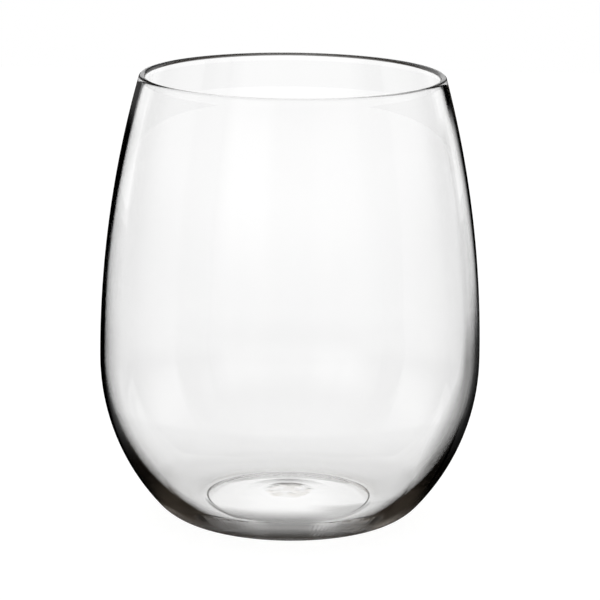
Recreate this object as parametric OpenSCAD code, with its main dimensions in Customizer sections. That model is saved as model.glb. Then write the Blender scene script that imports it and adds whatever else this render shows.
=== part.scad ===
// Stemless wine glass: one piece of clear glass, turned about the Z axis.
// The origin is the centre of the standing ring, on the table, and +Z points up through the mouth.
// Each curve of the cross-section is an arc that runs smoothly into the arcs beside it.

/* [Outside] */
// Height from the table to the top of the rim
height = 106; // [90:1:130]
// Diameter across the widest part of the bowl
belly_d = 90; // [80:1:110]
// Height of the widest part above the table
belly_h = 39; // [32:1:50]
// Diameter across the outside of the rim
rim_d = 72; // [58:1:80]
// Outer diameter of the flat ring that the glass stands on
foot_d = 44; // [36:1:52]
// Radius of the rounded heel between the standing ring and the bowl
heel_r = 13; // [8:0.5:18]

/* [Inside] */
// Thickness of the rim, which is rounded over in a half circle
rim_wall = 1.6; // [1:0.1:2.6]
// Thickness of the wall at the widest part of the bowl
belly_wall = 1; // [0.7:0.1:2]
// Height of the inner floor above the table, along its lowest line
floor_h = 2.6; // [1.8:0.1:6]
// How far the lowest line of the inner floor lies inside the outer edge of the standing ring
floor_inset = 2.5; // [1:0.1:6]
// Rise of the inner floor from its lowest line to the middle
floor_rise = 1.5; // [0.6:0.1:3]
// Radius of the curve from the lowest line of the inner floor up into the wall
inner_heel_r = 17; // [10:0.5:19.5]

/* [Underside] */
// Width of the standing ring
ring_w = 2; // [1:0.1:4]
// Height of the step at the inner edge of the standing ring
step_h = 0.3; // [0.1:0.1:1]
// Rise of the domed underside from the step to the middle
dome_h = 1.7; // [0.6:0.1:2.4]
// Diameter of the round mould mark in the middle of the underside
mark_d = 12; // [6:0.5:20]
// Depth of the mould mark above the middle of the dome
mark_h = 0.1; // [0.05:0.05:0.4]

/* [Hidden] */
$fn = 192;

// How far the straight pieces of an arc may stray from the true curve
curve_sag = 0.008;

belly_r = belly_d / 2;
rim_r = rim_d / 2;
foot_r = foot_d / 2;
floor_r = foot_r - floor_inset;
mark_r = mark_d / 2;
inner_belly_r = belly_r - belly_wall;
inner_rim_r = rim_r - rim_wall;
recess_r = foot_r - ring_w;
recess_h = step_h + dome_h;
mark_top = recess_h + mark_h;

// Radius of an arc that starts upright and passes a point dx further in and dz away
function arc_to_point(dx, dz) = (dx * dx + dz * dz) / (2 * dx);
// Radius of an arc that starts upright and runs into a smaller circle of radius r,
// whose centre is dx further in and dz away
function arc_to_circle(dx, dz, r) = (dx * dx + dz * dz - r * r) / (2 * (dx - r));
// Direction from one point to another, in degrees from the horizontal
function direction(from, to) = atan2(to.y - from.y, to.x - from.x);

// Small curves: the lip's half circle, the heel and the inner heel
lip_r = rim_wall / 2;
lip_centre = [rim_r - lip_r, height - lip_r];
heel_centre = [foot_r, heel_r];
inner_heel_centre = [floor_r, floor_h + inner_heel_r];

// Long curves: the wall above and below its widest part, outside and inside, the domed underside,
// and the risen inner floor, which runs into the inner heel at its tilt there
upper_r = arc_to_point(belly_r - rim_r, lip_centre.y - belly_h) + lip_r;
lower_r = arc_to_circle(belly_r - heel_centre.x, belly_h - heel_centre.y, heel_r);
inner_upper_r = arc_to_point(inner_belly_r - inner_rim_r, lip_centre.y - belly_h) - lip_r;
inner_lower_r = arc_to_circle(inner_belly_r - inner_heel_centre.x, belly_h - inner_heel_centre.y, inner_heel_r);
dome_r = arc_to_point(dome_h, recess_r);
rise_reach = arc_to_point(floor_rise, floor_r);
rise_r = rise_reach - inner_heel_r;
rise_tilt = asin(floor_r / rise_reach);
upper_centre = [belly_r - upper_r, belly_h];
lower_centre = [belly_r - lower_r, belly_h];
inner_upper_centre = [inner_belly_r - inner_upper_r, belly_h];
inner_lower_centre = [inner_belly_r - inner_lower_r, belly_h];
dome_centre = [0, recess_h - dome_r];
rise_centre = [0, floor_h + floor_rise - rise_r];

// Directions at which one curve hands over to the next
lip_turn = direction(upper_centre, lip_centre);
heel_turn = direction(lower_centre, heel_centre);
inner_lip_turn = direction(inner_upper_centre, lip_centre);
inner_heel_turn = direction(inner_lower_centre, inner_heel_centre);

// Points along an arc, without its first, which the curve before it has already drawn
function arc(centre, r, from, to) =
    let (steps = ceil(abs(to - from) / (2 * acos(1 - curve_sag / r))))
    [for (i = [1:steps]) let (a = from + (to - from) * i / steps) centre + r * [cos(a), sin(a)]];

// Half of the cross-section: up the outside, over the lip, down the inside and across the underside
function half_section() = concat(
    [[recess_r, 0], [foot_r, 0]],
    arc(heel_centre, heel_r, -90, heel_turn),
    arc(lower_centre, lower_r, heel_turn, 0),
    arc(upper_centre, upper_r, 0, lip_turn),
    arc(lip_centre, lip_r, lip_turn, inner_lip_turn + 180),
    arc(inner_upper_centre, inner_upper_r, inner_lip_turn, 0),
    arc(inner_lower_centre, inner_lower_r, 0, inner_heel_turn),
    arc(inner_heel_centre, inner_heel_r, inner_heel_turn, -90 - rise_tilt),
    arc(rise_centre, rise_r, 90 - rise_tilt, 90),
    [[0, mark_top], [mark_r, mark_top]],
    [dome_centre + [mark_r, sqrt(dome_r * dome_r - mark_r * mark_r)]],
    arc(dome_centre, dome_r, acos(mark_r / dome_r), acos(recess_r / dome_r))
);

module glass_body() {
    color("lightcyan", 0.35)
        rotate_extrude()
            polygon(half_section());
}

glass_body();
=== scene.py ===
import math
import bmesh
import bpy
from mathutils import Matrix, Vector


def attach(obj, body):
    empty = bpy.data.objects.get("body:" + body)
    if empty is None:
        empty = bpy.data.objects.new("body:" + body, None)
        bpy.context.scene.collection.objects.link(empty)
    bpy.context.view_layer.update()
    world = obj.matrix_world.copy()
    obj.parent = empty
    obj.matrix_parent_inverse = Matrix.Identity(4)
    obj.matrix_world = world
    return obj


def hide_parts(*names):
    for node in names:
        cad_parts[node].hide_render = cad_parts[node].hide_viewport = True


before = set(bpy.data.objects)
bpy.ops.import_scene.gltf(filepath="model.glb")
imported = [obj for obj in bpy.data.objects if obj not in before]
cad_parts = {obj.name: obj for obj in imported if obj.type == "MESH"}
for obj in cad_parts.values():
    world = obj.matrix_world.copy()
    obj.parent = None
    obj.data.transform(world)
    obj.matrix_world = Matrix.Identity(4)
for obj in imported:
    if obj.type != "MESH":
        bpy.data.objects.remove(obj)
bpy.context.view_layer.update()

# Glass body: the whole glass, from the rounded rim down to the ring that it stands on.
# Clear soda-lime glass, blown into a mould in one gather; the mould leaves a thick rounded heel,
# a shallow domed recess underneath with a small round mark, and the rim is melted round in a flame.
MM = 0.001
height, belly_r, belly_h, rim_r = 106 * MM, 45 * MM, 39 * MM, 36 * MM
foot_r, heel_r = 22 * MM, 13 * MM
rim_wall, belly_wall = 1.6 * MM, 1.0 * MM
floor_h, floor_r, floor_rise, inner_heel_r = 2.6 * MM, 19.5 * MM, 1.5 * MM, 17 * MM
recess_r, step_h, dome_h, step_soft = 20 * MM, 0.3 * MM, 1.7 * MM, 0.3 * MM
mark_r, mark_h, mark_soft = 6 * MM, 0.1 * MM, 5.5 * MM
turns, weld = 256, 0.0001 * MM


def arc_to_point(across, away):
    """Radius of an arc that starts upright and passes a point further in."""
    return (across ** 2 + away ** 2) / (2 * across)


def arc_to_circle(across, away, radius):
    """Radius of an arc that starts upright and runs into a smaller circle."""
    return (across ** 2 + away ** 2 - radius ** 2) / (2 * (across - radius))


def heading(start, end):
    """Angle of the way from one point of the cross-section to another."""
    return math.atan2(end[1] - start[1], end[0] - start[0])


inner_belly_r, inner_rim_r = belly_r - belly_wall, rim_r - rim_wall
lip_r = rim_wall / 2
lip = (rim_r - lip_r, height - lip_r)
heel = (foot_r, heel_r)
inner_heel = (floor_r, floor_h + inner_heel_r)
upper_r = arc_to_point(belly_r - rim_r, lip[1] - belly_h) + lip_r
lower_r = arc_to_circle(belly_r - heel[0], belly_h - heel[1], heel_r)
inner_upper_r = arc_to_point(inner_belly_r - inner_rim_r, lip[1] - belly_h) - lip_r
inner_lower_r = arc_to_circle(inner_belly_r - inner_heel[0], belly_h - inner_heel[1], inner_heel_r)
dome_r = arc_to_point(dome_h, recess_r)
rise_r = arc_to_point(floor_rise, floor_r) - inner_heel_r
rise_tilt = math.asin(floor_r / (rise_r + inner_heel_r))
upper, lower = (belly_r - upper_r, belly_h), (belly_r - lower_r, belly_h)
inner_upper, inner_lower = (inner_belly_r - inner_upper_r, belly_h), (inner_belly_r - inner_lower_r, belly_h)
dome, rise = (0, step_h + dome_h - dome_r), (0, floor_h + floor_rise - rise_r)
right, up, down, left = 0.0, math.pi / 2, -math.pi / 2, math.pi


def only(parts, kind):
    """The vertices, or the edges, among the parts that an operator gives back."""
    return [part for part in parts if isinstance(part, kind)]


def draw_to(bm, pen, x, z):
    """Draw a cross-section on in a straight line, and return its new end."""
    drawn = bmesh.ops.extrude_vert_indiv(bm, verts=[pen])["verts"][0]
    drawn.co = (x, 0, z)
    return drawn


def draw_arc(bm, pen, centre, start, end, steps):
    """Draw a cross-section on along an arc, from one heading to another, and return its new end."""
    swept = bmesh.ops.spin(bm, geom=[pen], cent=(centre[0], 0, centre[1]), axis=(0, -1, 0),
                           angle=end - start, steps=steps)
    return only(swept["geom_last"], bmesh.types.BMVert)[0]


def draw_step(bm, pen, run, drop, tilt, end_tilt, steps):
    """Draw a cross-section on down a soft step of two equal arcs, from one tilt to another."""
    pitch = drop / run
    spread = math.cos(tilt) + math.cos(end_tilt) + pitch * (math.sin(tilt) + math.sin(end_tilt))
    steep = math.atan(pitch) + math.acos(spread / (2 * math.hypot(1, pitch)))
    bend = run / (2 * math.sin(steep) - math.sin(tilt) - math.sin(end_tilt))
    x, z = pen.co.x, pen.co.z
    pen = draw_arc(bm, pen, (x - bend * math.sin(tilt), z - bend * math.cos(tilt)), up - tilt,
                   up - steep, steps)
    x, z = pen.co.x, pen.co.z
    return draw_arc(bm, pen, (x + bend * math.sin(steep), z + bend * math.cos(steep)), down - steep,
                    down - end_tilt, steps)


mark_top = step_h + dome_h + mark_h
mark_end, dome_end = mark_r + mark_soft, recess_r - step_soft
mark_foot, dome_foot = [dome[1] + math.sqrt(dome_r ** 2 - r ** 2) for r in (mark_end, dome_end)]
mark_tilt, dome_tilt = math.asin(mark_end / dome_r), math.asin(dome_end / dome_r)
glass_bm = bmesh.new()
pen = glass_bm.verts.new((0, 0, mark_top))
pen = draw_to(glass_bm, pen, mark_r - mark_soft, mark_top)
pen = draw_step(glass_bm, pen, 2 * mark_soft, mark_top - mark_foot, 0, mark_tilt, steps=6)
pen = draw_arc(glass_bm, pen, dome, up - mark_tilt, up - dome_tilt, steps=16)
pen = draw_step(glass_bm, pen, 2 * step_soft, dome_foot, dome_tilt, 0, steps=8)
pen = draw_to(glass_bm, pen, foot_r, 0)
pen = draw_arc(glass_bm, pen, heel, down, heading(lower, heel), steps=28)
pen = draw_arc(glass_bm, pen, lower, heading(lower, heel), right, steps=20)
pen = draw_arc(glass_bm, pen, upper, right, heading(upper, lip), steps=44)
pen = draw_arc(glass_bm, pen, lip, heading(upper, lip), heading(inner_upper, lip) + left, steps=18)
pen = draw_arc(glass_bm, pen, inner_upper, heading(inner_upper, lip), right, steps=44)
pen = draw_arc(glass_bm, pen, inner_lower, right, heading(inner_lower, inner_heel), steps=20)
pen = draw_arc(glass_bm, pen, inner_heel, heading(inner_lower, inner_heel), down - rise_tilt, steps=32)
pen = draw_arc(glass_bm, pen, rise, up - rise_tilt, up, steps=16)

bmesh.ops.remove_doubles(glass_bm, verts=glass_bm.verts[:], dist=weld)
bmesh.ops.spin(glass_bm, geom=glass_bm.verts[:] + glass_bm.edges[:], cent=(0, 0, 0), axis=(0, 0, 1),
               angle=2 * math.pi, steps=turns, use_merge=True)
bmesh.ops.remove_doubles(glass_bm, verts=glass_bm.verts[:], dist=weld)
bmesh.ops.recalc_face_normals(glass_bm, faces=glass_bm.faces[:])
for face in glass_bm.faces:
    face.smooth = True


def make_object(bm, name):
    """Turn a finished bmesh into an object in the scene."""
    mesh = bpy.data.meshes.new(name)
    bm.to_mesh(mesh)
    bm.free()
    piece = bpy.data.objects.new(name, mesh)
    bpy.context.collection.objects.link(piece)
    return piece


glass = make_object(glass_bm, "clear_glass_body")


def linear(hex_colour):
    """sRGB hex colour as linear red, green, blue and alpha."""
    parts = [int(hex_colour[i:i + 2], 16) / 255 for i in (1, 3, 5)]
    return [c / 12.92 if c <= 0.04045 else ((c + 0.055) / 1.055) ** 2.4 for c in parts] + [1.0]


def start_material(piece, name):
    """Give a piece a new material, and return its node tree, still empty."""
    material = bpy.data.materials.new(name)
    material.use_nodes = True
    material.node_tree.nodes.clear()
    piece.data.materials.append(material)
    return material.node_tree


def add(tree, kind, links=None, stops=(), span=(0, 1), **settings):
    """Add a node, give it its settings (node properties, socket values, or a ramp's stops over a span
    of values) and link its inputs, each to an output or to the first output of a node."""
    node = tree.nodes.new(kind)
    for name, value in settings.items():
        if hasattr(node, name):
            setattr(node, name, value)
        elif name.startswith("input_"):
            node.inputs[int(name[6:])].default_value = value
        else:
            node.inputs[name.replace("_", " ")].default_value = value
    if stops:
        elements = node.color_ramp.elements
        while len(elements) < len(stops):
            elements.new(0.5)
        for element, (value, shade) in zip(elements, stops):
            element.position = (value - span[0]) / (span[1] - span[0])
            element.color = (shade, shade, shade, 1)
    for socket, source in (links or {}).items():
        output = source.outputs[0] if isinstance(source, bpy.types.Node) else source
        tree.links.new(output, node.inputs[socket])
    return node


# Soda-lime glass, blown and fire-polished: colourless and mirror-smooth, with the slow waves that blowing
# leaves in the wall. The mould chills the glass to a fine ribbed skin round the heel and a mottled
# patch in the middle of the underside, and the standing ring is scuffed dull by tables. Shadow rays
# go through, so that the floor under and behind the glass is lit as it is under thin clear glass.
wave_size, wave_depth = 16 * MM, 0.01 * MM
rib_count, rib_depth, rib_low, rib_top, rib_edge = 170.0, 0.005 * MM, 2.5 * MM, 5.5 * MM, 2 * MM
mottle_size, mottle_depth, mottle_from, mottle_to = 2.5 * MM, 0.07 * MM, 4.5 * MM, 7 * MM
scuff_low, scuff_top, underside = 0.005 * MM, 0.03 * MM, 2.6 * MM
mark_dullness, ring_dullness = 0.1, 0.12
tree = start_material(glass, "soda_lime_glass_fire_polished")
place = add(tree, "ShaderNodeTexCoord").outputs["Object"]
spot = add(tree, "ShaderNodeSeparateXYZ", {0: place}).outputs
flat = add(tree, "ShaderNodeVectorMath", {0: place}, operation="MULTIPLY", input_1=(1, 1, 0))
out_from = add(tree, "ShaderNodeVectorMath", {0: flat}, operation="LENGTH").outputs["Value"]
# slow waves in the wall
wave = add(tree, "ShaderNodeTexNoise", {"Vector": place}, Scale=1 / wave_size, Detail=0.0)
wave = add(tree, "ShaderNodeMath", {0: wave.outputs["Fac"]}, operation="MULTIPLY", input_1=wave_depth)
# ribs of the mould's skin on the heel, about 1 mm apart
turn = add(tree, "ShaderNodeMath", {0: spot["Y"], 1: spot["X"]}, operation="ARCTAN2")
rib = add(tree, "ShaderNodeMath", {0: turn}, operation="MULTIPLY", input_1=rib_count)
rib = add(tree, "ShaderNodeMath", {0: rib}, operation="SINE")
low_down = add(tree, "ShaderNodeMapRange", {"Value": spot["Z"]}, From_Min=rib_low, From_Max=rib_top,
               To_Min=1.0, To_Max=0.0, interpolation_type="SMOOTHSTEP")
on_heel = add(tree, "ShaderNodeMapRange", {"Value": out_from}, From_Min=foot_r, From_Max=foot_r + rib_edge,
              interpolation_type="SMOOTHSTEP")
skin = add(tree, "ShaderNodeMath", {0: low_down, 1: on_heel}, operation="MULTIPLY")
rib = add(tree, "ShaderNodeMath", {0: rib, 1: skin}, operation="MULTIPLY")
rib = add(tree, "ShaderNodeMath", {0: rib, 2: wave}, operation="MULTIPLY_ADD", input_1=rib_depth)
# mottled mould mark under the middle
mottle = add(tree, "ShaderNodeTexNoise", {"Vector": place}, Scale=1 / mottle_size, Detail=2.0)
on_mark = add(tree, "ShaderNodeMapRange", {"Value": out_from}, From_Min=mottle_from, From_Max=mottle_to,
              To_Min=1.0, To_Max=0.0, interpolation_type="SMOOTHSTEP")
underneath = add(tree, "ShaderNodeMath", {0: spot["Z"]}, operation="LESS_THAN", input_1=underside)
on_mark = add(tree, "ShaderNodeMath", {0: on_mark, 1: underneath}, operation="MULTIPLY")
mottle = add(tree, "ShaderNodeMath", {0: mottle.outputs["Fac"], 1: on_mark}, operation="MULTIPLY")
relief = add(tree, "ShaderNodeMath", {0: mottle, 2: rib}, operation="MULTIPLY_ADD", input_1=mottle_depth)
bump = add(tree, "ShaderNodeBump", {"Height": relief}, Strength=1.0, Distance=1.0)
# scuffed standing ring
on_ring = add(tree, "ShaderNodeMapRange", {"Value": spot["Z"]}, From_Min=scuff_low, From_Max=scuff_top,
              To_Min=ring_dullness, To_Max=0.0, interpolation_type="SMOOTHSTEP")
dull = add(tree, "ShaderNodeMath", {0: on_mark, 2: on_ring}, operation="MULTIPLY_ADD", input_1=mark_dullness)
# the mottled patch takes a little of the light
patch = add(tree, "ShaderNodeMapRange", {"Value": mottle}, From_Min=0.3, From_Max=0.65)
tint = add(tree, "ShaderNodeMix", {"Factor": patch}, data_type="RGBA", input_6=linear("#ffffff"),
           input_7=linear("#d9d3cb")).outputs[2]
body = add(tree, "ShaderNodeBsdfPrincipled", {"Roughness": dull, "Normal": bump, "Base Color": tint},
           IOR=1.52, Transmission_Weight=1.0)
# shadow rays pass, a little dimmed where the wall is seen edge on
facing = add(tree, "ShaderNodeLayerWeight", Blend=0.35).outputs["Facing"]
dimmed = add(tree, "ShaderNodeMix", {"Factor": facing}, data_type="RGBA", input_6=linear("#fdfdfc"),
             input_7=linear("#c4c4c0")).outputs[2]
through = add(tree, "ShaderNodeBsdfTransparent", {"Color": dimmed})
path = add(tree, "ShaderNodeLightPath").outputs
passing = add(tree, "ShaderNodeMath", {0: path["Is Shadow Ray"], 1: path["Is Diffuse Ray"]},
              operation="MAXIMUM")
mixed = add(tree, "ShaderNodeMixShader", {0: passing, 1: body, 2: through})
add(tree, "ShaderNodeOutputMaterial", {"Surface": mixed})
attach(glass, "root")
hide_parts("glass_body")

# Camera: a long lens a little above the rim, looking down into the mouth. It is aimed at the middle
# of the glass, and is turned a little on its own axis.
lens_lift, lens_far, lens_roll = math.radians(12.672), 781.3 * MM, math.radians(0.649)
aim = Vector((2.259 * MM, 0, 52.175 * MM))
camera_data = bpy.data.cameras.new("camera")
camera_data.sensor_width, camera_data.lens = 36, 198.03
camera_data.clip_start, camera_data.clip_end = 0.05, 20
camera = bpy.data.objects.new("camera", camera_data)
bpy.context.collection.objects.link(camera)
tripod = aim + Vector((0, -lens_far * math.cos(lens_lift), lens_far * math.sin(lens_lift)))
camera.matrix_world = (Matrix.Translation(tripod) @ Matrix.Rotation(math.pi / 2 - lens_lift, 4, "X")
                       @ Matrix.Rotation(lens_roll, 4, "Z"))
bpy.context.scene.camera = camera

# Turntable: the backdrop, the black papers, the card and the light tent stand on one turntable round
# the glass, which keeps them facing the lens wherever it stands.
turntable = bpy.data.objects.new("turntable", None)
bpy.context.collection.objects.link(turntable)
facing_lens = turntable.constraints.new("LOCKED_TRACK")
facing_lens.target, facing_lens.track_axis, facing_lens.lock_axis = camera, "TRACK_NEGATIVE_Y", "LOCK_Z"

# Floor: a wide white table top of paper. Most of its white is the plain paper white that the camera
# and the glass see, and the rest is lit, so that the glass keeps its faint shadow. Under the recess
# lies a small painted pool of light, in place of the light that the domed base gathers, which only shows
# through the glass.
floor_half, floor_drop, floor_white = 3.0, 0.1 * MM, 0.85
pool_span, pool_light = (0, 50 * MM), 0.1
# turns of light in the glass are whole numbers, so each limit lies between two of them: the floor and
# the tent are painted dark for light that has turned more than a dozen times, a painted shade in the thick
# heel
one_turn, dozen_turns = 0.5, 12.5
floor_bm = bmesh.new()
bmesh.ops.create_grid(floor_bm, x_segments=1, y_segments=1, size=floor_half)
floor = make_object(floor_bm, "floor")
floor.location.z = -floor_drop
tree = start_material(floor, "white_table_paper")
path = add(tree, "ShaderNodeLightPath").outputs
by_glass = add(tree, "ShaderNodeMath", {0: path["Is Glossy Ray"], 1: path["Is Transmission Ray"]},
               operation="MAXIMUM")
seen = add(tree, "ShaderNodeMath", {0: path["Is Camera Ray"], 1: by_glass}, operation="MAXIMUM")
# painted shade: no white of the floor after more than a dozen turns in the glass
shallow = add(tree, "ShaderNodeMath", {0: path["Glossy Depth"]}, operation="LESS_THAN", input_1=dozen_turns)
seen = add(tree, "ShaderNodeMath", {0: seen, 1: shallow}, operation="MULTIPLY")
level = add(tree, "ShaderNodeMath", {0: seen}, operation="MULTIPLY", input_1=floor_white)
place = add(tree, "ShaderNodeTexCoord").outputs["Object"]
reach = add(tree, "ShaderNodeVectorMath", {0: place}, operation="LENGTH").outputs["Value"]
share = add(tree, "ShaderNodeMapRange", {"Value": reach}, From_Min=pool_span[0], From_Max=pool_span[1])
# painted light: extra glow under the recess, seen only through the glass
pool = add(tree, "ShaderNodeValToRGB", {0: share}, span=pool_span,
           stops=((0, pool_light), (0.0185, pool_light), (0.0205, 0.0)))
pool = add(tree, "ShaderNodeMath", {0: pool, 1: by_glass}, operation="MULTIPLY")
level = add(tree, "ShaderNodeMath", {0: level, 1: pool}, operation="ADD")
paper = add(tree, "ShaderNodeBsdfDiffuse", Color=linear("#848484"))
glow = add(tree, "ShaderNodeEmission", {"Strength": level}, Color=linear("#ffffff"))
both = add(tree, "ShaderNodeAddShader", {0: paper, 1: glow})
add(tree, "ShaderNodeOutputMaterial", {"Surface": both})

# Backdrop: a white paper wall behind the glass, on the turntable. Where the glass mirrors it more than
# once low down, or more than six times higher up, the paper is painted dim and warm, darker to the left,
# and very dim after more than a dozen times: painted shade that stands for the dark of the thick heel.
wall_half, wall_back, wall_middle = 1.6, 0.7, 0.8
wall_low, wall_high, low_turns, high_turns = 0.24, 0.25, 1.5, 6.5
dim_left, dim_right = -0.05, 0.15
wall_bm = bmesh.new()
bmesh.ops.create_grid(wall_bm, x_segments=1, y_segments=1, size=wall_half)
bmesh.ops.rotate(wall_bm, verts=wall_bm.verts[:], cent=(0, 0, 0), matrix=Matrix.Rotation(math.pi / 2, 3, "X"))
bmesh.ops.translate(wall_bm, verts=wall_bm.verts[:], vec=(0, wall_back, wall_middle))
backdrop = make_object(wall_bm, "backdrop")
tree = start_material(backdrop, "white_backdrop_paper")
path = add(tree, "ShaderNodeLightPath").outputs
by_glass = add(tree, "ShaderNodeMath", {0: path["Is Glossy Ray"], 1: path["Is Transmission Ray"]},
               operation="MAXIMUM")
seen = add(tree, "ShaderNodeMath", {0: path["Is Camera Ray"], 1: by_glass}, operation="MAXIMUM")
place = add(tree, "ShaderNodeTexCoord").outputs["Object"]
spot = add(tree, "ShaderNodeSeparateXYZ", {0: place}).outputs
white_turns = add(tree, "ShaderNodeMapRange", {"Value": spot["Z"]}, From_Min=wall_low, From_Max=wall_high,
                  To_Min=low_turns, To_Max=high_turns)
deep = add(tree, "ShaderNodeMath", {0: path["Glossy Depth"], 1: white_turns}, operation="GREATER_THAN")
to_right = add(tree, "ShaderNodeMapRange", {"Value": spot["X"]}, From_Min=dim_left, From_Max=dim_right,
               interpolation_type="SMOOTHSTEP")
# painted shade: dim warm tones in place of the white, seen only in deep reflections
dim = add(tree, "ShaderNodeMix", {"Factor": to_right}, data_type="RGBA", input_6=linear("#4d4741"),
          input_7=linear("#a39b91")).outputs[2]
deepest = add(tree, "ShaderNodeMath", {0: path["Glossy Depth"]}, operation="GREATER_THAN",
              input_1=dozen_turns)
dim = add(tree, "ShaderNodeMix", {"Factor": deepest, 6: dim}, data_type="RGBA",
          input_7=linear("#332d26")).outputs[2]
tone = add(tree, "ShaderNodeMix", {"Factor": deep, 7: dim}, data_type="RGBA",
           input_6=linear("#ffffff")).outputs[2]
glow = add(tree, "ShaderNodeEmission", {"Strength": seen, "Color": tone})
add(tree, "ShaderNodeOutputMaterial", {"Surface": glow})
backdrop.visible_shadow = backdrop.visible_diffuse = False
backdrop.parent = turntable

# Black sleeves: matt black paper standing close beside the glass, left and right, on the turntable,
# which shows only in the reflections of the glass. Its black, graded by angle, is painted dark reflection
# that draws the dark edges clear glass has on a white ground. Shades are given by the angle behind the
# side of the glass, for its middle, its lower part and its rim.
sleeve_gap, sleeve_low, sleeve_turn = 4 * MM, math.radians(-49), math.radians(52)
middle_from, middle_to, rim_from, rim_to = 40 * MM, 62 * MM, 93 * MM, 101 * MM
sleeve_black = linear("#060606")
sleeve_span = (-30, 22)
sleeve_starts = {"left": math.pi - math.radians(22), "right": math.radians(-30)}
sleeve_shades = {
    "left": (((-20, 0.0), (-15, 0.12), (-13, 0.16), (-10.5, 0.24), (-8, 0.34), (-5.5, 0.44), (-3.5, 0.62),
              (-2, 0.82), (-0.5, 1.0)),
             ((-22, 0.0), (-14, 0.4), (-8, 0.62), (-5.5, 0.7), (-3.5, 0.8), (-2, 0.9), (-0.5, 1.0)),
             ((-6, 0.0), (-3.5, 0.2), (-2, 0.35), (-1, 0.6), (-0.3, 0.95))),
    "right": (((-30, 0.1), (-22, 0.34), (-17, 0.34), (-14.8, 1.0), (-12.2, 1.0), (-10.8, 0.14), (-4.3, 0.14),
               (-2.5, 0.29), (-1, 0.36), (2, 0.47), (4.5, 0.73), (7, 1.0)),
              ((-30, 0.1), (-22, 0.4), (-16, 0.55), (-14.5, 1.0), (-12.2, 1.0), (-11, 0.72), (-4, 0.88),
               (2, 0.93), (7, 0.97)),
              ((-10, 0.0), (-7, 0.2), (-4.5, 0.45), (-3, 0.75), (-1.5, 1.0), (7, 1.0))),
}
for side, start in sleeve_starts.items():
    sleeve_bm = bmesh.new()
    pen = sleeve_bm.verts.new((heel[0] + (heel_r + sleeve_gap) * math.cos(sleeve_low), 0,
                               heel[1] + (heel_r + sleeve_gap) * math.sin(sleeve_low)))
    pen = draw_arc(sleeve_bm, pen, heel, sleeve_low, heading(lower, heel), steps=16)
    pen = draw_arc(sleeve_bm, pen, lower, heading(lower, heel), right, steps=16)
    pen = draw_arc(sleeve_bm, pen, upper, right, heading(upper, lip), steps=32)
    bmesh.ops.rotate(sleeve_bm, verts=sleeve_bm.verts[:], cent=(0, 0, 0),
                     matrix=Matrix.Rotation(start, 3, "Z"))
    bmesh.ops.spin(sleeve_bm, geom=sleeve_bm.verts[:] + sleeve_bm.edges[:], cent=(0, 0, 0), axis=(0, 0, 1),
                   angle=sleeve_turn, steps=26)
    sleeve = make_object(sleeve_bm, "black_sleeve_" + side)
    tree = start_material(sleeve, "matt_black_paper_" + side)
    place = add(tree, "ShaderNodeTexCoord").outputs["Object"]
    spot = add(tree, "ShaderNodeSeparateXYZ", {0: place}).outputs
    out_from = add(tree, "ShaderNodeMath", {0: spot["X"]}, operation="ABSOLUTE")
    turn = add(tree, "ShaderNodeMath", {0: spot["Y"], 1: out_from}, operation="ARCTAN2")
    turn = add(tree, "ShaderNodeMath", {0: turn}, operation="DEGREES")
    share = add(tree, "ShaderNodeMapRange", {"Value": turn}, From_Min=sleeve_span[0], From_Max=sleeve_span[1])
    middle_shade, lower_shade, rim_shade = [add(tree, "ShaderNodeValToRGB", {0: share}, stops=stops,
                                                span=sleeve_span) for stops in sleeve_shades[side]]
    lift = add(tree, "ShaderNodeMapRange", {"Value": spot["Z"]}, From_Min=middle_from, From_Max=middle_to,
               interpolation_type="SMOOTHSTEP")
    dark = add(tree, "ShaderNodeMix", {"Factor": lift, 6: lower_shade, 7: middle_shade},
               data_type="RGBA").outputs[2]
    top = add(tree, "ShaderNodeMapRange", {"Value": spot["Z"]}, From_Min=rim_from, From_Max=rim_to,
              interpolation_type="SMOOTHSTEP")
    dark = add(tree, "ShaderNodeMix", {"Factor": top, 6: dark, 7: rim_shade}, data_type="RGBA").outputs[2]
    path = add(tree, "ShaderNodeLightPath").outputs
    mirrored = add(tree, "ShaderNodeMath", {0: path["Glossy Depth"]}, operation="GREATER_THAN",
                   input_1=one_turn)
    # painted dark reflection: graded black, shown only to mirrored light
    cover = add(tree, "ShaderNodeMath", {0: mirrored, 1: dark}, operation="MULTIPLY")
    paper = add(tree, "ShaderNodeBsdfDiffuse", Color=sleeve_black)
    clear = add(tree, "ShaderNodeBsdfTransparent")
    mixed = add(tree, "ShaderNodeMixShader", {0: cover, 1: clear, 2: paper})
    add(tree, "ShaderNodeOutputMaterial", {"Surface": mixed})
    sleeve.visible_camera = sleeve.visible_diffuse = sleeve.visible_shadow = False
    sleeve.parent = turntable

# Black collar: a low ring of matt black paper standing just outside the rim and above it, on the turntable.
# It shows only in the reflections of the glass, where its graded black is painted dark reflection that draws
# the dark ends of the rim, left and right. Shades are given by the angle behind the side of the glass; low
# down it is cut out for the light rim tips.
collar_gap, collar_h, collar_overlap = 5 * MM, 20 * MM, 0.5 * MM
tip_from, tip_to = height + 4 * MM, height + 6 * MM
collar_span = (-90, 90)
collar_shades = (
    ((-27, 0.0), (-20, 0.7), (-14, 0.95), (45, 0.95), (58, 0.6), (80, 0.0)),
    ((-27, 0.0), (-20, 0.7), (-14, 0.95), (14, 0.95), (22, 0.2), (60, 0.2), (80, 0.0)),
    ((15, 0.0), (20, 1.0), (42, 1.0), (47, 0.0)),
)
collar_bm = bmesh.new()
bmesh.ops.create_circle(collar_bm, segments=144, radius=rim_r + collar_gap)
edge = bmesh.ops.extrude_edge_only(collar_bm, edges=collar_bm.edges[:])["geom"]
bmesh.ops.translate(collar_bm, verts=only(edge, bmesh.types.BMVert), vec=(0, 0, collar_h))
bmesh.ops.translate(collar_bm, verts=collar_bm.verts[:], vec=(0, 0, height - collar_overlap))
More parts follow.
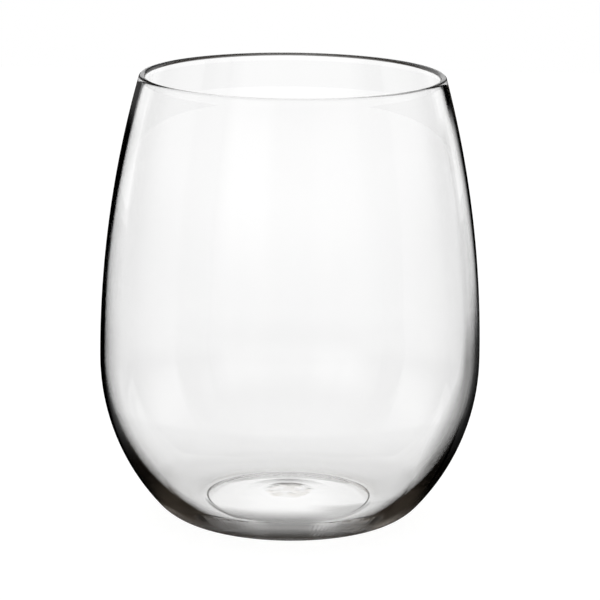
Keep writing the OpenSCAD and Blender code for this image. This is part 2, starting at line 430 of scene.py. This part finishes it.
collar = make_object(collar_bm, "black_collar")
tree = start_material(collar, "matt_black_paper_collar")
place = add(tree, "ShaderNodeTexCoord").outputs["Object"]
spot = add(tree, "ShaderNodeSeparateXYZ", {0: place}).outputs
out_from = add(tree, "ShaderNodeMath", {0: spot["X"]}, operation="ABSOLUTE")
turn = add(tree, "ShaderNodeMath", {0: spot["Y"], 1: out_from}, operation="ARCTAN2")
turn = add(tree, "ShaderNodeMath", {0: turn}, operation="DEGREES")
share = add(tree, "ShaderNodeMapRange", {"Value": turn}, From_Min=collar_span[0], From_Max=collar_span[1])
on_left, on_right, tip = [add(tree, "ShaderNodeValToRGB", {0: share}, stops=stops, span=collar_span)
                          for stops in collar_shades]
to_right = add(tree, "ShaderNodeMath", {0: spot["X"]}, operation="GREATER_THAN", input_1=0.0)
dark = add(tree, "ShaderNodeMix", {"Factor": to_right, 2: on_left, 3: on_right})
low_down = add(tree, "ShaderNodeMapRange", {"Value": spot["Z"]}, From_Min=tip_from, From_Max=tip_to,
               To_Min=1.0, To_Max=0.0)
tip = add(tree, "ShaderNodeMath", {0: tip, 1: low_down}, operation="MULTIPLY")
dark = add(tree, "ShaderNodeMath", {0: dark, 1: tip}, operation="SUBTRACT", use_clamp=True)
path = add(tree, "ShaderNodeLightPath").outputs
mirrored = add(tree, "ShaderNodeMath", {0: path["Glossy Depth"]}, operation="GREATER_THAN", input_1=one_turn)
# painted dark reflection: graded black, shown only to mirrored light
cover = add(tree, "ShaderNodeMath", {0: mirrored, 1: dark}, operation="MULTIPLY")
paper = add(tree, "ShaderNodeBsdfDiffuse", Color=sleeve_black)
clear = add(tree, "ShaderNodeBsdfTransparent")
mixed = add(tree, "ShaderNodeMixShader", {0: cover, 1: clear, 2: paper})
add(tree, "ShaderNodeOutputMaterial", {"Surface": mixed})
collar.visible_camera = collar.visible_diffuse = collar.visible_shadow = False
collar.parent = turntable

# Foot card: a round dark card flat on the table under the glass, on the turntable, which only the
# glass sees. Its dark is painted shade for the dim gap under the heel: darkest round the foot, and
# nearly clear under the recess, with its front and right side darker than its back.
card_r, card_drop = 300 * MM, 0.05 * MM
rim_band, slope_right, right_from, right_to = 4 * MM, -0.19, 3 * MM, 13 * MM
# a wall of the glass is two passes for light, one into it and one out of it
wall_passes, two_turns = 2.5, 1.5
foot_bm = bmesh.new()
bmesh.ops.create_circle(foot_bm, segments=96, radius=card_r, cap_ends=True)
foot_card = make_object(foot_bm, "foot_card")
foot_card.location.z = -card_drop
tree = start_material(foot_card, "painted_shade_card")
place = add(tree, "ShaderNodeTexCoord").outputs["Object"]
spot = add(tree, "ShaderNodeSeparateXYZ", {0: place}).outputs
reach = add(tree, "ShaderNodeVectorMath", {0: place}, operation="LENGTH").outputs["Value"]
slant = add(tree, "ShaderNodeMath", {0: spot["Y"], 2: spot["X"]}, operation="MULTIPLY_ADD",
            input_1=slope_right)
front = add(tree, "ShaderNodeMath", {0: spot["Y"]}, operation="MULTIPLY", input_1=-1.0)
turn = add(tree, "ShaderNodeMath", {0: spot["X"], 1: front}, operation="ARCTAN2")
turn = add(tree, "ShaderNodeMath", {0: turn}, operation="DEGREES")
shades = {}
for name, source, span, stops in (
        # mirrored in the glass, as painted shade: the card's middle, and its sides further forward
        ("middle", reach, (0, card_r),
         ((0, 0.68), (0.013, 0.72), (0.017, 0.78), (0.0205, 0.88), (0.022, 1.0), (0.027, 1.0), (0.032, 0.75),
          (0.045, 0.62), (0.07, 0.6), (0.11, 0.5), (0.16, 0.4), (0.25, 0.0))),
        ("sides", reach, (0, card_r),
         ((0, 0.98), (0.0205, 0.98), (0.0225, 1.0), (0.07, 1.0), (0.11, 0.65), (0.16, 0.5), (0.25, 0.0))),
        ("across", spot["X"], (-0.03, 0.03),
         ((-0.027, 1.0), (-0.016, 0.95), (-0.011, 0.4), (-0.007, 0.0), (0.008, 0.0), (0.0125, 0.4),
          (0.017, 0.8), (0.027, 1.0))),
        ("abreast", spot["Y"], (-0.06, 0), ((-0.06, 0.0), (-0.035, 1.0))),
        # mirrored more than once, as painted shade: the card outside the heel
        ("outside", reach, (0, card_r), ((0.034, 0.0), (0.042, 1.0), (0.2, 1.0), (0.28, 0.0))),
        # painted glints under the recess, left and right of the middle
        ("glint", spot["X"], (-0.03, 0.03),
         ((-0.012, 0.0), (-0.008, 0.15), (-0.004, 0.0), (0.005, 0.0), (0.008, 0.3), (0.010, 0.25),
          (0.0125, 0.0))),
        ("under", reach, (0, 0.03), ((0.0185, 1.0), (0.0205, 0.0))),
        # seen through the glass, as painted shade: behind the standing ring
        ("behind", reach, (0, card_r),
         ((0, 0.0), (0.0205, 0.0), (0.0225, 0.2), (0.03, 0.2), (0.042, 0.09), (0.061, 0.05), (0.085, 0.06),
          (0.105, 0.075), (0.15, 0.08), (0.175, 0.035), (0.22, 0.0))),
        ("further", spot["Y"], (-0.03, 0.03), ((-0.004, 0.25), (0.012, 1.0))),
        # before it, on the left and on the right
        ("before_left", spot["Y"], (-0.06, 0),
         ((-0.06, 0.0), (-0.04, 0.5), (-0.022, 0.8), (-0.017, 0.79), (-0.0153, 0.66), (-0.0134, 0.51),
          (-0.0118, 0.37), (-0.0103, 0.21), (-0.009, 0.08), (-0.0075, 0.0))),
        ("before_right", spot["Y"], (-0.06, 0),
         ((-0.06, 0.0), (-0.04, 0.4), (-0.022, 0.55), (-0.017, 0.5), (-0.0145, 0.42), (-0.009, 0.4),
          (-0.007, 0.34), (-0.0045, 0.0))),
        # beside it, on the right
        ("beside", slant, (0, 0.06), ((0.029, 0.0), (0.0355, 0.6), (0.06, 0.66))),
        ("near", spot["Y"], (0, 0.25), ((0.0, 0.0), (0.02, 1.0), (0.15, 1.0), (0.23, 0.0))),
        # a painted light gap outside the ring, and a painted contact shadow, the dark line where the ring
        # stands
        ("gap", reach, (0.02, 0.03), ((0.0211, 1.0), (0.0216, 0.1), (0.026, 0.1), (0.03, 1.0))),
        ("gap_turn", turn, (-180, 180),
         ((-100, 0.0), (-80, 1.0), (-25, 1.0), (-12, 0.0), (14, 0.0), (26, 0.9), (70, 0.9), (85, 0.0))),
        ("contact", reach, (0.02, 0.022), ((0.0201, 0.0), (0.0204, 1.0), (0.021, 1.0), (0.0213, 0.0))),
        ("contact_turn", turn, (-180, 180), ((-82, 0.0), (-68, 0.6), (-55, 0.9), (-30, 0.9), (-18, 0.0))),
        # seen through the back of the rim, as painted shade that darkens the line of the rim's back
        ("away", reach, (0, card_r), ((0.06, 0.0), (0.072, 0.85), (0.2, 0.85), (0.25, 0.0)))):
    share = add(tree, "ShaderNodeMapRange", {"Value": source}, From_Min=span[0], From_Max=span[1])
    shades[name] = add(tree, "ShaderNodeValToRGB", {0: share}, stops=stops, span=span)
path = add(tree, "ShaderNodeLightPath").outputs
# the shade that is mirrored in the glass
across = add(tree, "ShaderNodeMath", {0: shades["across"], 1: shades["abreast"]}, operation="MULTIPLY")
in_mirror = add(tree, "ShaderNodeMix", {"Factor": across, 2: shades["middle"], 3: shades["sides"]})
glint = add(tree, "ShaderNodeMath", {0: shades["glint"], 1: shades["under"]}, operation="MULTIPLY")
in_mirror = add(tree, "ShaderNodeMath", {0: in_mirror, 1: glint}, operation="SUBTRACT", use_clamp=True)
deep = add(tree, "ShaderNodeMath", {0: path["Glossy Depth"]}, operation="GREATER_THAN", input_1=two_turns)
deep = add(tree, "ShaderNodeMath", {0: deep, 1: shades["outside"]}, operation="MULTIPLY")
in_mirror = add(tree, "ShaderNodeMath", {0: in_mirror, 1: deep}, operation="MAXIMUM")
# the shade that is seen through the glass
behind = add(tree, "ShaderNodeMath", {0: shades["behind"], 1: shades["further"]}, operation="MULTIPLY")
to_right = add(tree, "ShaderNodeMapRange", {"Value": spot["X"]}, From_Min=right_from, From_Max=right_to,
               interpolation_type="SMOOTHSTEP")
before = add(tree, "ShaderNodeMix", {"Factor": to_right, 2: shades["before_left"], 3: shades["before_right"]})
gap = add(tree, "ShaderNodeMix", {"Factor": shades["gap_turn"], 3: shades["gap"]}, input_2=1.0)
before = add(tree, "ShaderNodeMath", {0: before, 1: gap}, operation="MULTIPLY")
beside = add(tree, "ShaderNodeMath", {0: shades["beside"], 1: shades["near"]}, operation="MULTIPLY")
contact = add(tree, "ShaderNodeMath", {0: shades["contact"], 1: shades["contact_turn"]}, operation="MULTIPLY")
# light has come from the rim if it has come further than from just below the rim's back, straight behind
aside = add(tree, "ShaderNodeMath", {0: spot["X"], 1: spot["X"]}, operation="MULTIPLY")
rim_back = add(tree, "ShaderNodeMath", {1: aside}, operation="SUBTRACT", input_0=(rim_r - lip_r) ** 2)
rim_back = add(tree, "ShaderNodeMath", {0: rim_back}, operation="MAXIMUM", input_1=0.0)
rim_back = add(tree, "ShaderNodeMath", {0: rim_back}, operation="SQRT")
off_rim = add(tree, "ShaderNodeMath", {0: spot["Y"], 1: rim_back}, operation="SUBTRACT")
from_rim = add(tree, "ShaderNodeCombineXYZ", {"X": off_rim}, Z=height - rim_band)
from_rim = add(tree, "ShaderNodeVectorMath", {0: from_rim}, operation="LENGTH").outputs["Value"]
from_rim = add(tree, "ShaderNodeMath", {0: path["Ray Length"], 1: from_rim}, operation="GREATER_THAN")
once = add(tree, "ShaderNodeMath", {0: path["Transmission Depth"]}, operation="LESS_THAN",
           input_1=wall_passes)
from_rim = add(tree, "ShaderNodeMath", {0: from_rim, 1: once}, operation="MULTIPLY")
from_rim = add(tree, "ShaderNodeMath", {0: from_rim, 1: shades["away"]}, operation="MULTIPLY")
seen_through = behind
for shade in (before, beside, contact, from_rim):
    seen_through = add(tree, "ShaderNodeMath", {0: seen_through, 1: shade}, operation="MAXIMUM")
mirrored = add(tree, "ShaderNodeMath", {0: path["Glossy Depth"]}, operation="GREATER_THAN", input_1=one_turn)
# painted shade: the card's graded dark, one shade for mirrored light and one for light seen through
cover = add(tree, "ShaderNodeMix", {"Factor": mirrored, 2: seen_through, 3: in_mirror})
paper = add(tree, "ShaderNodeBsdfDiffuse", Color=linear("#332e29"))
clear = add(tree, "ShaderNodeBsdfTransparent")
mixed = add(tree, "ShaderNodeMixShader", {0: cover, 1: clear, 2: paper})
add(tree, "ShaderNodeOutputMaterial", {"Surface": mixed})
foot_card.visible_camera = foot_card.visible_diffuse = foot_card.visible_shadow = False
foot_card.parent = turntable

# Light tent: white cloth over the table and up round the camera's side, on the turntable, which shows
# only in the glass. It glows by itself with no lamp behind it: painted light, with two tall bright panels
# painted left and right of the lens.
tent_hole_r, tent_spread, tent_h, roof_share, tent_drop = 0.05, 24, 1.8, 0.02, 0.03 * MM
cloth_from, wall_from, roof_from, roof_to, low_light, roof_light = 0.09, 0.3, 0.45, 0.75, 1.2, 0.3
one_wall, half_a_pass = 2.0, 0.5
tent_bm = bmesh.new()
bmesh.ops.create_circle(tent_bm, segments=144, radius=tent_hole_r)
hem = bmesh.ops.extrude_edge_only(tent_bm, edges=tent_bm.edges[:])["geom"]
bmesh.ops.scale(tent_bm, verts=only(hem, bmesh.types.BMVert), vec=(tent_spread, tent_spread, 1))
wall = bmesh.ops.extrude_edge_only(tent_bm, edges=only(hem, bmesh.types.BMEdge))["geom"]
bmesh.ops.translate(tent_bm, verts=only(wall, bmesh.types.BMVert), vec=(0, 0, tent_h))
eaves = [e for e in only(wall, bmesh.types.BMEdge) if all(v.co.z > tent_h / 2 for v in e.verts)]
roof = bmesh.ops.extrude_edge_only(tent_bm, edges=eaves)["geom"]
bmesh.ops.scale(tent_bm, verts=only(roof, bmesh.types.BMVert), vec=(roof_share, roof_share, 1))
tent = make_object(tent_bm, "light_tent")
tent.location.z = -tent_drop
tree = start_material(tent, "painted_glow_tent_cloth")
place = add(tree, "ShaderNodeTexCoord").outputs["Object"]
spot = add(tree, "ShaderNodeSeparateXYZ", {0: place}).outputs
reach = add(tree, "ShaderNodeVectorMath", {0: place}, operation="LENGTH").outputs["Value"]
ahead = add(tree, "ShaderNodeMath", {0: spot["Y"]}, operation="MULTIPLY", input_1=-1.0)
turn = add(tree, "ShaderNodeMath", {0: spot["X"], 1: ahead}, operation="ARCTAN2")
turn = add(tree, "ShaderNodeMath", {0: turn}, operation="DEGREES")
shades = {}
for name, source, span, stops in (
        # the wall with its two painted bright panels, and the table
        ("on_wall", turn, (-150, 150),
         ((-150, 0.2), (-128, 0.42), (-114, 0.64), (-98, 0.76), (-75, 0.68), (-49, 0.64), (-42, 0.92),
          (-19, 0.92), (-12, 0.72), (12, 0.72), (19, 0.82), (39, 0.8), (50, 0.64), (75, 0.68), (98, 0.74),
          (114, 0.58), (128, 0.36), (150, 0.2))),
        ("on_table", turn, (-150, 150),
         ((-150, 0.2), (-100, 0.22), (-30, 0.15), (10, 0.16), (22, 0.26), (50, 0.26), (65, 0.2), (150, 0.2))),
        # the table as it shows in the mouth, mirrored behind one wall of the glass
        ("by_mouth", reach, (0, 0.5), ((0.08, 0.0), (0.086, 1.0), (0.3, 1.0), (0.5, 0.3))),
        ("in_mouth", turn, (-150, 150), ((-95, 0.5), (-70, 0.75), (70, 0.75), (95, 0.5))),
        # the tent is open at the back
        ("sides", turn, (-150, 150), ((-150, 0.0), (-135, 1.0), (135, 1.0), (150, 0.0)))):
    share = add(tree, "ShaderNodeMapRange", {"Value": source}, From_Min=span[0], From_Max=span[1])
    shades[name] = add(tree, "ShaderNodeValToRGB", {0: share}, stops=stops, span=span)
path = add(tree, "ShaderNodeLightPath").outputs
through = add(tree, "ShaderNodeMath", {0: path["Transmission Depth"]}, operation="COMPARE",
              input_1=one_wall, input_2=half_a_pass)
through = add(tree, "ShaderNodeMath", {0: through, 1: shades["by_mouth"]}, operation="MULTIPLY")
on_table = add(tree, "ShaderNodeMix", {"Factor": through, 2: shades["on_table"], 3: shades["in_mouth"]})
height_up = add(tree, "ShaderNodeMapRange", {"Value": spot["Z"]}, From_Min=0.0, From_Max=wall_from,
                interpolation_type="SMOOTHSTEP")
lit = add(tree, "ShaderNodeMix", {"Factor": height_up, 2: on_table, 3: shades["on_wall"]})
roof_dim = add(tree, "ShaderNodeMapRange", {"Value": spot["Z"]}, From_Min=roof_from, From_Max=roof_to,
               To_Min=low_light, To_Max=roof_light, interpolation_type="SMOOTHSTEP")
lit = add(tree, "ShaderNodeMath", {0: lit, 1: roof_dim}, operation="MULTIPLY")
# painted shade: no glow of the tent after more than a dozen turns in the glass
shallow = add(tree, "ShaderNodeMath", {0: path["Glossy Depth"]}, operation="LESS_THAN", input_1=dozen_turns)
lit = add(tree, "ShaderNodeMath", {0: lit, 1: shallow}, operation="MULTIPLY")
inner = add(tree, "ShaderNodeMapRange", {"Value": reach}, From_Min=tent_hole_r, From_Max=cloth_from,
            interpolation_type="SMOOTHSTEP")
cover = add(tree, "ShaderNodeMath", {0: shades["sides"], 1: inner}, operation="MULTIPLY")
mirrored = add(tree, "ShaderNodeMath", {0: path["Glossy Depth"]}, operation="GREATER_THAN", input_1=one_turn)
cover = add(tree, "ShaderNodeMath", {0: cover, 1: mirrored}, operation="MULTIPLY")
# painted light: the cloth glows by itself, seen only in reflections
glow = add(tree, "ShaderNodeEmission", {"Strength": lit}, Color=linear("#ffffff"))
clear = add(tree, "ShaderNodeBsdfTransparent")
mixed = add(tree, "ShaderNodeMixShader", {0: cover, 1: clear, 2: glow})
add(tree, "ShaderNodeOutputMaterial", {"Surface": mixed})
tent.visible_camera = tent.visible_diffuse = tent.visible_shadow = False
tent.parent = turntable

# Light: a large soft box above the table, and a plain pale room. Light goes on through the
# thick base for more turns than through plain walls.
lamp_size, lamp_power, lamp_place, room_light = 1.6, 6.0, (0, 0.1, 1.2), 0.65
lamp_data = bpy.data.lights.new("overhead_soft_box", "AREA")
lamp_data.shape, lamp_data.size, lamp_data.size_y = "RECTANGLE", lamp_size, lamp_size
lamp_data.energy = lamp_power
lamp = bpy.data.objects.new("overhead_soft_box", lamp_data)
lamp.location = lamp_place
lamp.visible_glossy = lamp.visible_transmission = False
bpy.context.collection.objects.link(lamp)
world = bpy.data.worlds.new("pale_room")
bpy.context.scene.world = world
world.use_nodes = True
room = world.node_tree.nodes["Background"].inputs
room["Color"].default_value, room["Strength"].default_value = linear("#ffffff"), room_light
bpy.context.scene.cycles.glossy_bounces, bpy.context.scene.cycles.transmission_bounces = 22, 12
bpy.context.scene.cycles.max_bounces = 28

bpy.context.scene.view_settings.view_transform = "Standard"
